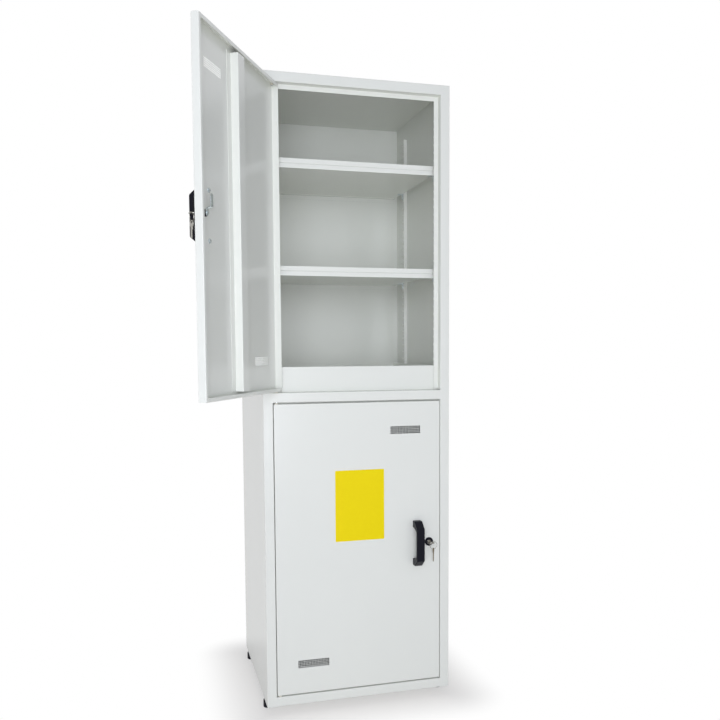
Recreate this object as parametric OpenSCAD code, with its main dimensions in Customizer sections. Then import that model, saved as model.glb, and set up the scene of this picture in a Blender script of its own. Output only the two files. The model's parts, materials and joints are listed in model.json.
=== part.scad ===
// Safety storage cabinet: a folded sheet-steel body with two stacked lockable compartments.
// Millimetres. The origin is on the floor under the middle of the body, +Z is up and the doors face -Y.
// At rest the upper door stands open and the lower door is closed.

/* [Body] */
// Overall width
cabinet_w = 600; // [560:10:800]
// Overall depth of the body without handles
cabinet_d = 550; // [450:10:700]
// Overall height from the floor
cabinet_h = 1960; // [1850:10:2200]
// Thickness of the body's sheet
sheet = 1.2; // [0.8:0.1:1.5]
// Width of the flange at the rear of each side
rear_flange = 15; // [10:1:30]

/* [Front frame] */
// Width of the stiles
stile_w = 30; // [26:1:45]
// Height of the top rail
top_rail_h = 30; // [22:1:60]
// Height of the rail between the compartments
mid_rail_h = 30; // [22:1:60]
// Height of the bottom rail
bottom_rail_h = 30; // [28:1:80]
// Depth of the door rebate
rebate = 24; // [24:0.5:30]
// Width of the stop flange round each opening
stop_w = 14; // [8:1:18]

/* [Doors] */
// Opening angle of the upper door at rest
upper_open = 119; // [0:1:125]
// Thickness of the door's sheet
door_sheet = 1.0; // [0.8:0.1:1.2]
// Depth of the door over its folded edges
door_t = 21; // [19:0.5:21]
// Gap beside a door
door_gap = 2; // [2:0.1:4]
// Gap below a door
sill_gap = 4; // [2:0.1:5]
// Gap above a door
head_gap = 5; // [2:0.1:6]
// Width of the lips on the top, bottom and free edges
door_lip = 10.5; // [6:0.5:14]
// Distance of the pivot from the door's hinge edge
pivot_in = 9; // [9:0.5:12]
// Distance of the pivot behind the door's outer face
pivot_back = 5; // [5:0.1:6]

/* [Door stiffener] */
// Width of the crown
crown_w = 44; // [20:1:80]
// Depth of the stiffener
stiffener_d = 22; // [10:1:22]
// Width of each foot flange
stiffener_foot = 25; // [10:1:40]
// Distance of the crown's middle from the hinge edge
stiffener_at = 286; // [200:1:320]
// Distance of its ends from the door's top and bottom
stiffener_end = 16; // [14:1:40]

/* [Vents] */
// Holes in a row
vent_cols = 20; // [4:1:24]
// Rows of holes
vent_rows = 5; // [2:1:8]
// Distance between hole centres
vent_pitch = 5; // [4.5:0.5:8]
// Side of a square hole
vent_hole = 4.1; // [2:0.1:4.2]
// Distance of a vent's middle from the nearest upright door edge
vent_in = 116; // [100:1:150]
// Height of the lower vent's middle above the door's bottom edge
vent_up = 94; // [60:1:160]
// Distance of the upper vent's middle below the door's top edge
vent_down = 90; // [60:1:160]

/* [Handles] */
// Length of a handle
handle_len = 145; // [120:1:220]
// Width of a handle
handle_w = 26; // [16:1:36]
// Distance that a handle stands out
handle_out = 46; // [30:1:50]
// Thickness of the grip
grip_t = 11; // [7:0.5:14]
// Length of a handle's foot
handle_foot = 22; // [18:1:30]
// Distance of the handle's middle from the free edge
handle_in = 79; // [78:1:120]
// Diameter of the handle screws
handle_screw_d = 5; // [4:0.5:6]
// Diameter of the handle screws' heads
handle_head_d = 13; // [8:0.5:14]

/* [Locks] */
// Distance of the lock from the free edge
lock_in = 37; // [36:0.5:40]
// Diameter of the bezel
bezel_d = 28; // [22:0.5:30]
// Height of the bezel
bezel_h = 5; // [3:0.5:8]
// Diameter of the threaded housing
housing_d = 18; // [16:0.5:20]
// Depth of the housing behind the door's outer face
housing_deep = 14; // [10:0.5:15]
// Diameter of the plug
plug_d = 12.5; // [9:0.5:13]
// Width across the flats of the lock nut
lock_nut_af = 23; // [21:0.5:25]
// Thickness of the lock nut
lock_nut_t = 4; // [2:0.5:6]
// Length of the cam from the lock's axis
cam_len = 45; // [42:1:50]
// Width of the cam
cam_w = 14; // [10:1:16]
// Thickness of the cam
cam_t = 2; // [1.5:0.1:3]

/* [Keys] */
// Width of a key's bow
bow_w = 22; // [16:1:24]
// Thickness of a key
key_t = 2; // [1.5:0.1:2.5]
// Distance of the bow's hole in front of the bezel
bow_hole_out = 16; // [14:1:22]
// Diameter of the bow's hole
bow_hole_d = 7; // [6:0.5:8]
// Diameter of the key ring at the middle of its wire
ring_d = 24; // [22:1:30]
// Diameter of the ring's wire
wire_d = 1.4; // [1:0.1:2]
// Diameter of the spare key's bow
spare_bow_d = 17; // [14:1:20]
// Length of the spare key's blade
spare_blade = 27; // [18:1:40]
// Width of the spare key's blade
spare_blade_w = 9; // [5:0.5:10]

/* [Shelves] */
// Distance between slots in the uprights
slot_pitch = 25; // [20:1:40]
// Height of the first slot above a compartment's floor
slot_first = 19; // [10:1:30]
// Slot that carries the lower shelf
slot_shelf_1 = 14; // [8:1:16]
// Slot that carries the upper shelf
slot_shelf_2 = 27; // [20:1:30]
// Height of a shelf's raised lip
shelf_lip = 14; // [8:1:30]
// Height of the fold below a shelf's front and rear edge
shelf_fold = 14; // [8:1:30]
// Height of the groove along a shelf's front edge
shelf_groove = 1.6; // [1:0.1:3]
// Distance of the shelves behind the cabinet's front
shelf_front = 45; // [40:1:70]
// Thickness of the shelves' and trays' sheet
tray_sheet = 1.0; // [0.8:0.1:1.5]
// Height of the sump trays
sump_h = 78; // [40:1:120]
// Width of an upright
upright_w = 25; // [20:1:40]
// Depth of an upright
upright_d = 12; // [8:1:14]
// Distance of the front uprights' middle behind the front
upright_front = 110; // [90:1:140]
// Distance of the rear uprights' middle in front of the back
upright_rear = 110; // [80:1:140]
// Gap at each end of the shelves and trays
shelf_gap = 2.5; // [1:0.5:6]

/* [Feet] */
// Height of the body above the floor
foot_h = 27; // [10:1:35]
// Diameter of a foot pad
foot_d = 36; // [30:1:50]
// Diameter of the foot studs
stud_d = 8; // [6:1:10]
// Distance of the feet from the sides
foot_side = 15; // [13:1:30]
// Distance of the front feet behind the stop flange
foot_front = 50; // [25:1:80]
// Distance of the rear feet in front of the back
foot_rear = 53; // [25:1:80]

/* [Door card] */
// Width of the card
card_w = 159; // [80:1:200]
// Height of the card
card_h = 225; // [80:1:300]
// Distance of the card's middle from the hinge edge
card_at = 269; // [200:1:300]
// Height of the card's middle above the door's bottom
card_up = 588; // [400:1:700]

/* [Hidden] */
$fn = 48;
// Clearances
run = 0.05;
seat = 0.2;
// Body edges
hw = cabinet_w / 2;
y_front = -cabinet_d / 2;
y_back = cabinet_d / 2;
body_h = cabinet_h - foot_h;
// Heights of the two openings
opening_h = (body_h - bottom_rail_h - mid_rail_h - top_rail_h) / 2;
z_low = foot_h + bottom_rail_h;
z_low_top = z_low + opening_h;
z_up = z_low_top + mid_rail_h;
z_up_top = z_up + opening_h;
// Rails run between the stiles, and their stop flanges between the side stop flanges
rail_half = hw - stile_w;
stop_half = rail_half - stop_w;
y_stop = y_front + rebate;
y_inside = y_stop + sheet;
y_rear = y_back - 2 * sheet;
// Doors
door_w = cabinet_w - 2 * stile_w - 2 * door_gap;
door_h = opening_h - sill_gap - head_gap;
pivot_x = -hw + stile_w + door_gap + pivot_in;
pivot_y = y_front + pivot_back;
handle_at = door_w - handle_in;
lock_at = door_w - lock_in;
mid_door = door_h / 2;
vent_places = [[door_w - vent_in, door_h - vent_down], [vent_in, vent_up]];
// Pivot pins
pin_r = 2.5;
pin_reach = 9;
pin_head_r = 3.6;
pin_head_h = 3;
bush_r = pivot_back - door_sheet - seat;
collar_r = pivot_back - 2 * seat;
bush_len = 6;
// Handle
handle_half = handle_len / 2;
handle_bolt = handle_half - handle_foot / 2;
handle_slope = 21;
handle_toe = 20;
foot_screw_deep = 12;
handle_head_h = 3.5;
screw_hole_gap = 0.25;
// Lock, measured along its axis from the door's outer face
lock_hole_gap = 0.2;
plug_sunk = 0.6;
plug_front = -bezel_h + plug_sunk;
cam_back = housing_deep + seat;
cam_clear = 1.8;
cam_tip_back = rebate + sheet + cam_clear;
cam_bend = 8;
cam_bend_end = 14;
tail_w = 7;
cam_screw_r = 4.5;
cam_screw_h = 3;
// Keys
key_neck_w = 9;
bow_rim = 7;
bow_clear = 5;
bow_bulge = 4;
bow_front = bezel_h + bow_hole_out + bow_hole_d / 2 + bow_rim;
bow_back = bezel_h + bow_clear;
ring_lean = 45;
ring_r = ring_d / 2;
wire_r = wire_d / 2;
ring_x = ring_r * cos(ring_lean);
ring_z = -ring_r * sin(ring_lean);
spare_hole_r = 2.5;
spare_turn = 30;
spare_t = key_t;
// Shelves and trays
inner_half = hw - sheet - upright_d;
shelf_half = inner_half - shelf_gap;
shelf_y = y_front + shelf_front;
shelf_rear = y_rear - shelf_gap;
sump_y = y_inside + shelf_gap;
hem_h = 10;
upright_ys = [y_front + upright_front, y_back - upright_rear];
upright_short = 30;
upright_h = opening_h - upright_short;
slot_w = 13;
slot_h = 5;
slot_count = floor((upright_h - slot_first - slot_h) / slot_pitch) + 1;
clip_arm = 18;
clip_t = 3;
clip_side = 0.5;
clip_leg = 16;
// Feet
foot_xs = [-hw + foot_side, hw - foot_side];
foot_ys = [y_inside + foot_front, y_rear - foot_rear];
pad_clear = 2;
pad_h = foot_h - pad_clear;
pad_floor = 3;
pad_edge = 2;
bracket_t = 3;
bracket_w = 44;
foot_nut_af = 1.625 * stud_d;
foot_nut_t = 0.8 * stud_d;
stud_spare = 4;
stud_top = foot_h + bracket_t + foot_nut_t + stud_spare;
card_t = 0.4;

white = [0.90, 0.91, 0.92];
black = [0.10, 0.11, 0.12];
zinc = [0.72, 0.74, 0.76];
brass = [0.72, 0.58, 0.28];

LEVELS = ["upper", "lower"];
CORNERS = ["front_left", "front_right", "rear_left", "rear_right"];

// A box given by its low and high corners
module block(low, high) {
    translate(low)
        cube(high - low);
}

// A hexagonal prism along +Z, given across its flats
module hex(across, height) {
    cylinder(d = across / cos(30), h = height, $fn = 6);
}

function floor_of(level) = level == "upper" ? z_up : z_low;
function top_of(level) = level == "upper" ? z_up_top : z_low_top;

// Puts a door's pieces in place. Inside, x runs from the hinge edge to the free edge,
// y from the outer face into the cabinet and z up from the door's bottom edge.
module on_door(level) {
    turn = level == "upper" ? -upper_open : 0;
    translate([pivot_x, pivot_y, floor_of(level) + sill_gap])
        rotate(turn)
            translate([-pivot_in, -pivot_back, 0])
                children();
}

// Puts a lock's pieces on its axis: x to the free edge, z up, y into the cabinet
module on_lock(level) {
    on_door(level)
        translate([lock_at, 0, mid_door])
            children();
}

// A round bar into the cabinet between two depths
module round_along_y(d, from, to) {
    translate([0, from, 0])
        rotate([-90, 0, 0])
            cylinder(d = d, h = to - from);
}

// One folded sheet: wall and stile face, then the rebate, stop flange and rear flange below the top sheet
module side_panel(side) {
    color(white)
        mirror([side == "right" ? 1 : 0, 0, 0])
            translate([0, 0, foot_h])
                union() {
                    linear_extrude(body_h)
                        union() {
                            translate([-hw, y_front]) square([sheet, cabinet_d]);
                            translate([-hw, y_front]) square([stile_w, sheet]);
                        }
                    linear_extrude(body_h - sheet)
                        union() {
                            translate([-rail_half - sheet, y_front]) square([sheet, rebate + sheet]);
                            translate([-rail_half - sheet, y_stop]) square([sheet + stop_w, sheet]);
                            translate([-hw, y_back - sheet]) square([rear_flange, sheet]);
                        }
                }
}

module back_panel() {
    color(white)
        block([-hw + sheet, y_rear, foot_h], [hw - sheet, y_back - sheet, cabinet_h - sheet]);
}

module top_panel() {
    color(white)
        block([-hw + sheet, y_front + sheet, cabinet_h - sheet], [hw - sheet, y_back, cabinet_h]);
}

// The stop flange that a rail hangs below its own return
module rail_stop(z) {
    block([-stop_half, y_stop, z - stop_w], [stop_half, y_inside, z + sheet]);
}

// A hole through a rail's return for a pivot pin
module pin_hole(z) {
    translate([pivot_x, pivot_y, z - sheet])
        cylinder(r = pin_r + run, h = 3 * sheet);
}

module top_rail() {
    color(white)
        difference() {
            union() {
                block([-rail_half, y_front, z_up_top], [rail_half, y_front + sheet, cabinet_h]);
                block([-rail_half, y_front, z_up_top], [rail_half, y_stop, z_up_top + sheet]);
                block([-rail_half, y_front, cabinet_h - 2 * sheet], [rail_half, y_stop, cabinet_h - sheet]);
                rail_stop(z_up_top);
            }
            pin_hole(z_up_top);
        }
}

module mid_rail() {
    color(white)
        difference() {
            union() {
                block([-rail_half, y_front, z_low_top], [rail_half, y_front + sheet, z_up]);
                block([-rail_half, y_front, z_low_top], [rail_half, y_stop, z_low_top + sheet]);
                block([-rail_half, y_front, z_up - sheet], [rail_half, y_stop, z_up]);
                rail_stop(z_low_top);
            }
            pin_hole(z_low_top);
            pin_hole(z_up - sheet);
        }
}

module bottom_rail() {
    color(white)
        difference() {
            union() {
                block([-rail_half, y_front, foot_h], [rail_half, y_front + sheet, z_low]);
                block([-rail_half, y_front, z_low - sheet], [rail_half, y_stop, z_low]);
                block([-rail_half, y_front, foot_h], [rail_half, y_stop, foot_h + sheet]);
            }
            pin_hole(z_low - sheet);
        }
}

// A floor sheet that reaches forward between the stop flanges to meet its rail, with a tab that closes each stile
module floor_sheet(z) {
    color(white)
        translate([0, 0, z - sheet])
            linear_extrude(sheet)
                union() {
                    translate([-hw + sheet, y_inside]) square([cabinet_w - 2 * sheet, y_rear - y_inside]);
                    translate([-stop_half, y_stop]) square([2 * stop_half, 2 * sheet]);
                    for (x = [-hw + sheet, rail_half + sheet])
                        translate([x, y_front + sheet]) square([stile_w - 2 * sheet, rebate + sheet]);
                }
}

module mid_divider() {
    floor_sheet(z_up);
}

module floor_panel() {
    floor_sheet(z_low);
}

// Gusset plates in the bottom corners, welded to the sides, with a hole for each stud
module foot_brackets() {
    color(zinc)
        for (sx = [-1, 1], y = foot_ys)
            difference() {
                block([sx < 0 ? -hw + sheet : hw - sheet - bracket_w, y - bracket_w / 2, foot_h],
                      [sx < 0 ? -hw + sheet + bracket_w : hw - sheet, y + bracket_w / 2, foot_h + bracket_t]);
                translate([sx * (hw - foot_side), y, foot_h - 1])
                    cylinder(r = stud_d / 2 + run, h = bracket_t + 2);
            }
}

module foot_nuts() {
    color(zinc)
        for (x = foot_xs, y = foot_ys)
            translate([x, y, foot_h + bracket_t])
                difference() {
                    hex(foot_nut_af, foot_nut_t);
                    translate([0, 0, -1])
                        cylinder(r = stud_d / 2 + run, h = foot_nut_t + 2);
                }
}

function corner_place(corner) = [
    corner == "front_left" || corner == "rear_left" ? foot_xs[0] : foot_xs[1],
    corner == "front_left" || corner == "front_right" ? foot_ys[0] : foot_ys[1],
    0
];

// A round pad with a chamfered lower edge, moulded round its stud
module foot_pad(corner) {
    color(black)
        translate(corner_place(corner))
            rotate_extrude()
                polygon([
                    [0, 0], [foot_d / 2 - pad_edge, 0], [foot_d / 2, pad_edge], [foot_d / 2, pad_h - pad_edge],
                    [stud_d, pad_h], [stud_d / 2 + run, pad_h], [stud_d / 2 + run, pad_floor], [0, pad_floor]
                ]);
}

module foot_stud(corner) {
    color(zinc)
        translate(corner_place(corner) + [0, 0, pad_floor])
            cylinder(d = stud_d, h = stud_top - pad_floor);
}

// A pair of slotted channels, front and rear, on one side wall of a compartment
module uprights(level, side) {
    color(white)
        mirror([side == "right" ? 1 : 0, 0, 0])
            for (y = upright_ys)
                translate([-hw + sheet, y - upright_w / 2, floor_of(level)])
                    difference() {
                        cube([upright_d, upright_w, upright_h]);
                        translate([-1, sheet, -1])
                            cube([upright_d + 1 - sheet, upright_w - 2 * sheet, upright_h + 2]);
                        for (i = [0 : slot_count - 1])
                            translate([upright_d - 2 * sheet, (upright_w - slot_w) / 2, slot_first + i * slot_pitch])
                                cube([3 * sheet, slot_w, slot_h]);
                    }
}

function shelf_z(level, slot) = floor_of(level) + slot_first + slot * slot_pitch + clip_t;

// A hooked clip: a tongue through the slot, a hook behind the web, an arm and a leg in front
module clip(x, y, z) {
    w = slot_w - 2 * clip_side;
    hook = 2;
    translate([x, y - w / 2, z - clip_t]) {
        block([-sheet - hook, 0, 0], [clip_arm, w, clip_t]);
        block([-sheet - hook - seat, 0, 0], [-sheet - seat, w, slot_h - seat]);
        block([seat, 0, -clip_leg], [seat + hook, w, clip_t]);
    }
}

module shelf_clips(level) {
    color(zinc)
        for (side = [0, 1], y = upright_ys, slot = [slot_shelf_1, slot_shelf_2])
            mirror([side, 0, 0])
                clip(-inner_half, y, shelf_z(level, slot));
}

// A tray shelf: base, raised lip all round, folds below the front and rear edges and a groove
// along the front where the lip and the fold meet
module shelf(level, slot) {
    color(white)
        translate([0, 0, shelf_z(level, slot)])
            difference() {
                union() {
                    block([-shelf_half, shelf_y, 0], [shelf_half, shelf_rear, tray_sheet]);
                    for (s = [-1, 1])
                        translate([s * (shelf_half - tray_sheet / 2) - tray_sheet / 2, shelf_y, 0])
                            cube([tray_sheet, shelf_rear - shelf_y, shelf_lip + tray_sheet]);
                    for (y = [shelf_y, shelf_rear - tray_sheet])
                        translate([-shelf_half, y, -shelf_fold])
                            cube([2 * shelf_half, tray_sheet, shelf_fold + shelf_lip + tray_sheet]);
                }
                translate([-shelf_half - 1, shelf_y - 1, (tray_sheet - shelf_groove) / 2])
                    cube([2 * shelf_half + 2, 1 + tray_sheet / 2, shelf_groove]);
            }
}

// An open tray that stands on the compartment's floor, with a doubled hem along its rim
module sump(level) {
    color(white)
        translate([-shelf_half, sump_y, floor_of(level)])
            difference() {
                cube([2 * shelf_half, shelf_rear - sump_y, sump_h]);
                translate([tray_sheet, tray_sheet, tray_sheet])
                    cube([2 * (shelf_half - tray_sheet), shelf_rear - sump_y - 2 * tray_sheet,
                          sump_h - hem_h - tray_sheet]);
                translate([2 * tray_sheet, 2 * tray_sheet, tray_sheet])
                    cube([2 * (shelf_half - 2 * tray_sheet), shelf_rear - sump_y - 4 * tray_sheet, sump_h]);
            }
}

// The door's outer sheet in the flat, with its vents and the handle's and lock's holes
module door_face() {
    difference() {
        square([door_w, door_h]);
        for (place = vent_places, i = [0 : vent_cols - 1], j = [0 : vent_rows - 1])
            translate(place + vent_pitch * [i - (vent_cols - 1) / 2, j - (vent_rows - 1) / 2])
                square(vent_hole, center = true);
        for (s = [-1, 1])
            translate([handle_at, mid_door + s * handle_bolt])
                circle(d = handle_screw_d + 2 * screw_hole_gap);
        translate([lock_at, mid_door])
            circle(d = housing_d + 2 * lock_hole_gap);
    }
}

// A pan: the face, four returns and lips on the top, bottom and free edges
module door(level) {
    color(white)
        on_door(level)
            difference() {
                union() {
                    translate([0, door_sheet, 0])
                        rotate([90, 0, 0])
                            linear_extrude(door_sheet)
                                door_face();
                    for (x = [0, door_w - door_sheet])
                        translate([x, 0, 0])
                            cube([door_sheet, door_t, door_h]);
                    for (z = [0, door_h - door_sheet])
                        translate([0, 0, z])
                            cube([door_w, door_t, door_sheet]);
                    for (z = [0, door_h - door_lip])
                        translate([0, door_t - door_sheet, z])
                            cube([door_w, door_sheet, door_lip]);
                    translate([door_w - door_lip, door_t - door_sheet, 0])
                        cube([door_lip, door_sheet, door_h]);
                }
                for (z = [0, door_h])
                    translate([pivot_in, pivot_back, z - 2 * door_sheet])
                        cylinder(r = bush_r + run, h = 4 * door_sheet);
            }
}

// A hat section spot-welded to the inside of the door's face
module stiffener(level) {
    web = door_sheet;
    color(white)
        on_door(level)
            translate([stiffener_at, door_sheet, stiffener_end])
                linear_extrude(door_h - 2 * stiffener_end)
                    union() {
                        translate([-crown_w / 2, stiffener_d - web]) square([crown_w, web]);
                        for (s = [-1, 1]) {
                            translate([s * (crown_w - web) / 2 - web / 2, 0]) square([web, stiffener_d]);
                            translate([s * (crown_w + stiffener_foot - web) / 2 - stiffener_foot / 2, 0])
                                square([stiffener_foot, web]);
                        }
                    }
}

// Headed pins through the rails' returns, one down into the door's top and one up into its bottom
module hinge_pins(level) {
    color(zinc)
        for (end = [0, 1])
            translate([pivot_x, pivot_y, end == 0 ? floor_of(level) : top_of(level)])
                mirror([0, 0, end]) {
                    translate([0, 0, -sheet - pin_head_h])
                        cylinder(r = pin_head_r, h = pin_head_h);
                    translate([0, 0, -sheet - pin_head_h])
                        cylinder(r = pin_r, h = sheet + pin_head_h + sill_gap + pin_reach);
                }
}

// Bushes set in the door's top and bottom returns, each with a collar as thick as the gap below the door
module hinge_bushes(level) {
    color("ivory")
        on_door(level)
            for (end = [0, 1])
                translate([pivot_in, pivot_back, end * door_h])
                    mirror([0, 0, end])
                        difference() {
                            union() {
                                translate([0, 0, -sill_gap + seat])
                                    cylinder(r = collar_r, h = sill_gap - seat);
                                cylinder(r = bush_r, h = bush_len);
                            }
                            translate([0, 0, -sill_gap - 1])
                                cylinder(r = pin_r + run, h = sill_gap + bush_len + 2);
                        }
}

// A bow handle: two feet on the door, sloped ends and a straight grip, extruded across its width
module handle(level) {
    inner = handle_out - grip_t;
    foot_end_z = handle_half - handle_foot;
    upper_half = [
        [-handle_out, handle_half - handle_slope], [-handle_toe, handle_half], [0, handle_half],
        [0, foot_end_z], [-inner / 3, foot_end_z], [-inner, foot_end_z - inner / 4]
    ];
    lower_half = [for (i = [len(upper_half) - 1 : -1 : 0]) [upper_half[i].x, -upper_half[i].y]];
    color(black)
        on_door(level)
            translate([handle_at - handle_w / 2, 0, mid_door])
                difference() {
                    rotate([90, 0, 90])
                        linear_extrude(handle_w)
                            polygon(concat(upper_half, lower_half));
                    for (s = [-1, 1])
                        translate([handle_w / 2, -foot_screw_deep, s * handle_bolt])
                            rotate([-90, 0, 0])
                                cylinder(r = handle_screw_d / 2 + run, h = foot_screw_deep + 1);
                }
}

// Screws from inside the door into the handle's feet
module handle_screws(level) {
    color(zinc)
        on_door(level)
            for (s = [-1, 1])
                translate([handle_at, 0, mid_door + s * handle_bolt])
                    union() {
                        round_along_y(handle_screw_d, -foot_screw_deep + 1, door_sheet + 0.5);
                        round_along_y(handle_head_d, door_sheet, door_sheet + handle_head_h);
                    }
}

// A bezel and a threaded sleeve, bored for the plug
module lock_housing(level) {
    color(black)
        on_lock(level)
            difference() {
                union() {
                    round_along_y(bezel_d, -bezel_h, 0);
                    round_along_y(housing_d, -1, housing_deep);
                }
                round_along_y(plug_d + 2 * run, -bezel_h - 1, housing_deep + 1);
            }
}

module lock_nut(level) {
    color(zinc)
        on_lock(level)
            difference() {
                translate([0, door_sheet, 0])
                    rotate([-90, 30, 0])
                        hex(lock_nut_af, lock_nut_t);
                round_along_y(housing_d + 2 * run, 0, door_sheet + lock_nut_t + 1);
            }
}

// The turning core, with a square tail that carries the cam
module lock_plug(level) {
    color(zinc)
        on_lock(level)
            union() {
                round_along_y(plug_d, plug_front, housing_deep);
                block([-tail_w / 2, housing_deep - 1, -tail_w / 2],
                      [tail_w / 2, cam_back + cam_t, tail_w / 2]);
            }
}

// A cranked lever that points up when unlocked, its tip behind the stop flange's plane
module cam(level) {
    reach = cam_tip_back - cam_back;
    color(zinc)
        on_lock(level)
            difference() {
                rotate([90, 0, 90])
                    translate([0, 0, -cam_w / 2])
                        linear_extrude(cam_w)
                            polygon([
                                [cam_back, -cam_w / 2], [cam_back + cam_t, -cam_w / 2],
                                [cam_back + cam_t, cam_bend], [cam_back + reach + cam_t, cam_bend_end],
                                [cam_back + reach + cam_t, cam_len], [cam_back + reach, cam_len],
                                [cam_back + reach, cam_bend_end + cam_t], [cam_back, cam_bend + cam_t]
                            ]);
                block([-tail_w / 2 - run, cam_back - 1, -tail_w / 2 - run],
                      [tail_w / 2 + run, cam_back + cam_t + 1, tail_w / 2 + run]);
            }
}

module cam_screw(level) {
    color(zinc)
        on_lock(level)
            round_along_y(2 * cam_screw_r, cam_back + cam_t, cam_back + cam_t + cam_screw_h);
}

// A key in the plug, its flat bow level, with the ring's hole on the lock's axis
module key(level) {
    color(zinc)
        on_lock(level)
            translate([0, 0, -key_t / 2])
                linear_extrude(key_t)
                    difference() {
                        union() {
                            translate([-key_neck_w / 2, -bow_back - 1])
                                square([key_neck_w, bow_back + 1 + plug_front]);
                            intersection() {
                                translate([0, -(bow_front + bow_back) / 2])
                                    circle(d = bow_front - bow_back + 2 * bow_bulge);
                                translate([-bow_w / 2, -bow_front])
                                    square([bow_w, bow_front - bow_back]);
                            }
                        }
                        translate([0, -bezel_h - bow_hole_out])
                            circle(d = bow_hole_d);
                    }
}

// A wire ring through the bow's hole, parallel to the door
module key_ring(level) {
    color(zinc)
        on_lock(level)
            translate([ring_x, -bezel_h - bow_hole_out, ring_z])
                rotate([90, 0, 0])
                    rotate_extrude()
                        translate([ring_r, 0])
                            circle(r = wire_r, $fn = 24);
}

// A key that hangs from the lowest point of the ring, turned part way from the door
module spare_key(level) {
    drop = spare_hole_r - wire_r - seat;
    bow_r = spare_bow_d / 2;
    rim = 2.5;
    color(brass)
        on_lock(level)
            translate([ring_x, -bezel_h - bow_hole_out, ring_z - ring_r - drop])
                rotate([0, 0, 90 - spare_turn])
                    rotate([90, 0, 0])
                        translate([0, 0, -spare_t / 2])
                            linear_extrude(spare_t)
                                difference() {
                                    union() {
                                        translate([0, spare_hole_r + rim - bow_r])
                                            circle(r = bow_r);
                                        translate([-spare_blade_w / 2, spare_hole_r + rim - 2 * bow_r - spare_blade])
                                            square([spare_blade_w, spare_blade + bow_r]);
                                    }
                                    circle(r = spare_hole_r);
                                }
}

// A thin card stuck to the lower door's face
module door_card() {
    color("gold")
        on_door("lower")
            block([card_at - card_w / 2, -card_t, card_up - card_h / 2],
                  [card_at + card_w / 2, 0, card_up + card_h / 2]);
}

side_panel("left");  // side_panel_left
side_panel("right");  // side_panel_right
back_panel();
top_panel();
top_rail();
mid_rail();
mid_divider();
bottom_rail();
floor_panel();
foot_brackets();
foot_nuts();
for (corner = CORNERS) {
    foot_pad(corner);
    foot_stud(corner);
}
for (level = LEVELS) {
    for (side = ["left", "right"])
        uprights(level, side);
    shelf_clips(level);
    shelf(level, slot_shelf_1);
    shelf(level, slot_shelf_2);
    sump(level);
    door(level);
    stiffener(level);
    hinge_pins(level);
    hinge_bushes(level);
    handle(level);
    handle_screws(level);
    lock_housing(level);
    lock_nut(level);
    lock_plug(level);
    cam(level);
    cam_screw(level);
    key(level);
    key_ring(level);
    spare_key(level);
}
door_card();
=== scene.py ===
import json

import bmesh
import bpy
import numpy as np
from mathutils import Matrix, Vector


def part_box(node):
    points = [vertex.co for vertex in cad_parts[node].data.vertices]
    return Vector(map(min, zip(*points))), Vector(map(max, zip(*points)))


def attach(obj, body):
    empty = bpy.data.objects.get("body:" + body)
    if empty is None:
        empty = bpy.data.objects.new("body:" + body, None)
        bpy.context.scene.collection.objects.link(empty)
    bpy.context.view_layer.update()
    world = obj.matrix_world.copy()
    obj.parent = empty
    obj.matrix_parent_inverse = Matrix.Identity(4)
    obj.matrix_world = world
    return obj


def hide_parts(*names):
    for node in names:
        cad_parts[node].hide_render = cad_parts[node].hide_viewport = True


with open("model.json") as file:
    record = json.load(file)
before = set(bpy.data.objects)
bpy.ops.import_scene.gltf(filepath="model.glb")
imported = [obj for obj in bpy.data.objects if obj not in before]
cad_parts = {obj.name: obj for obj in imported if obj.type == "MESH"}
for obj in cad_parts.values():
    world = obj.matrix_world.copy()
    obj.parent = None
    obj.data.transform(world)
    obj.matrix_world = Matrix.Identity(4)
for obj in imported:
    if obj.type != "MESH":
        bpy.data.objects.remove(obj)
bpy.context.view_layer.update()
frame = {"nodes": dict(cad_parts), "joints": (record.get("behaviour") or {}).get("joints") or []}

# Side panels: each is one sheet of 1.2 mm steel, folded into rear flange, wall, stile, door rebate and stop
# flange. The stiles are welded to the rails and ground flush, and the whole body is then powder coated.
# A short notch parts the stop flanges of the two openings above the middle rail.
MM = 0.001
sheet = 1.2
fold_inside = 1.0
top_fold = fold_inside + sheet
rear_flange = 15.0
stop_w = 14.0
notch = 2.2
arc_steps = 6


def corners_of(node):
    """The lowest and highest corner of a CAD node at rest, in millimetres."""
    return [np.array(corner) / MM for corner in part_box(node)]


def linear(colour):
    """An sRGB hex colour as linear red, green, blue and a full alpha: the sRGB curve undone per channel."""
    parts = np.array([int(colour[i:i + 2], 16) for i in (1, 3, 5)]) / 255
    parts = np.where(parts <= 0.04045, parts / 12.92, ((parts + 0.055) / 1.055) ** 2.4)
    return (*parts, 1.0)


def add(tree, kind, inputs=None, **settings):
    """Adds a shader node, sets its settings, and links or sets its inputs by name or number."""
    node = tree.nodes.new("ShaderNode" + kind)
    for name, value in settings.items():
        setattr(node, name, value)
    for key, value in (inputs or {}).items():
        if isinstance(value, bpy.types.NodeSocket):
            tree.links.new(value, node.inputs[key])
        else:
            node.inputs[key].default_value = value
    return node


def start_finish(name, **sockets):
    """A material with one Principled shader, its constant sockets set by name with _ for a space."""
    made = bpy.data.materials.new(name)
    made.use_nodes = True
    tree = made.node_tree
    shader = tree.nodes["Principled BSDF"]
    for socket, value in sockets.items():
        shader.inputs[socket.replace("_", " ")].default_value = value
    return made, tree, shader, add(tree, "TexCoord").outputs["Object"]


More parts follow.
